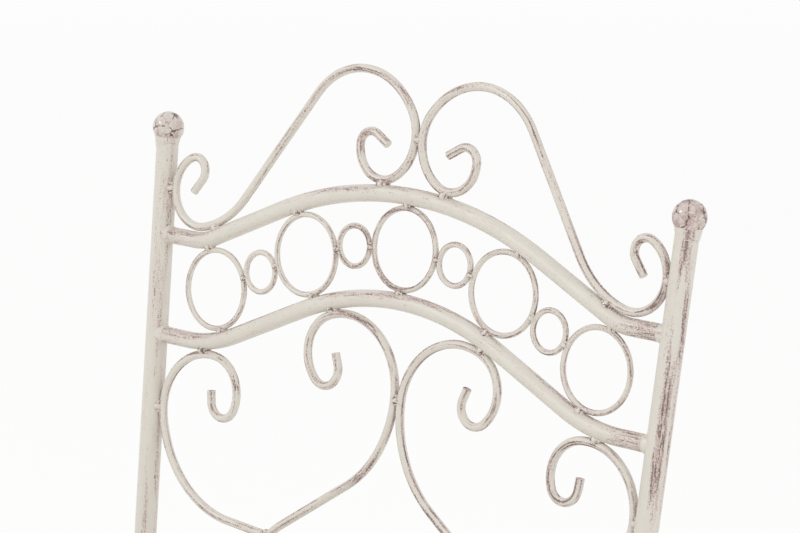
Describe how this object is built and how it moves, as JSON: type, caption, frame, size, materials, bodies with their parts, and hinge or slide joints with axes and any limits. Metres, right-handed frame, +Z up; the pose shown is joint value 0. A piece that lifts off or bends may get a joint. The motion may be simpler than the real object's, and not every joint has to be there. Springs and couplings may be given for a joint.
{
  "type": "garden chair",
  "caption": "Welded wrought iron garden chair with a camel-back of rings, scrolled crest and heart scrolls, ball finials and a slatted seat.",
  "frame": {"origin": "floor, at the middle of the chair's footprint", "axes": "+Z up, the chair faces -Y, +X to the viewer's right"},
  "size_m": [0.4998, 0.5432, 0.9086],
  "materials": {
    "aged_paint": "satin antique cream paint, rubbed brown",
    "cap_plastic": "matte"
  },
  "bodies": {
    "root": {"left_rear_post": "aged_paint", "right_rear_post": "aged_paint", "left_finial": "aged_paint", "right_finial": "aged_paint", "left_crest_scroll": "aged_paint", "right_crest_scroll": "aged_paint", "left_inner_heart_scroll": "aged_paint", "right_inner_heart_scroll": "aged_paint", "left_outer_heart_scroll": "aged_paint", "right_outer_heart_scroll": "aged_paint", "left_front_leg": "aged_paint", "right_front_leg": "aged_paint", "left_stretcher": "aged_paint", "right_stretcher": "aged_paint", "left_seat_bar": "aged_paint", "right_seat_bar": "aged_paint", "upper_back_rail": "aged_paint", "lower_back_rail": "aged_paint", "bottom_back_rail": "aged_paint", "front_seat_bar": "aged_paint", "rear_seat_bar": "aged_paint", "cross_stretcher": "aged_paint", "large_ring_1": "aged_paint", "large_ring_2": "aged_paint", "large_ring_3": "aged_paint", "large_ring_4": "aged_paint", "large_ring_5": "aged_paint", "small_ring_1": "aged_paint", "small_ring_2": "aged_paint", "small_ring_3": "aged_paint", "small_ring_4": "aged_paint", "seat_slat_1": "aged_paint", "seat_slat_2": "aged_paint", "seat_slat_3": "aged_paint", "seat_slat_4": "aged_paint", "seat_slat_5": "aged_paint", "seat_slat_6": "aged_paint", "seat_slat_7": "aged_paint", "seat_slat_8": "aged_paint", "seat_slat_9": "aged_paint", "seat_slat_10": "aged_paint", "ring_weld_beads": "aged_paint", "crest_weld_beads": "aged_paint", "heart_weld_beads": "aged_paint", "back_rail_welds": "aged_paint", "stretcher_welds": "aged_paint", "seat_frame_welds": "aged_paint", "slat_weld_beads": "aged_paint", "left_rear_foot_cap": "cap_plastic", "right_rear_foot_cap": "cap_plastic", "left_front_foot_cap": "cap_plastic", "right_front_foot_cap": "cap_plastic"}
  },
  "joints": []
}
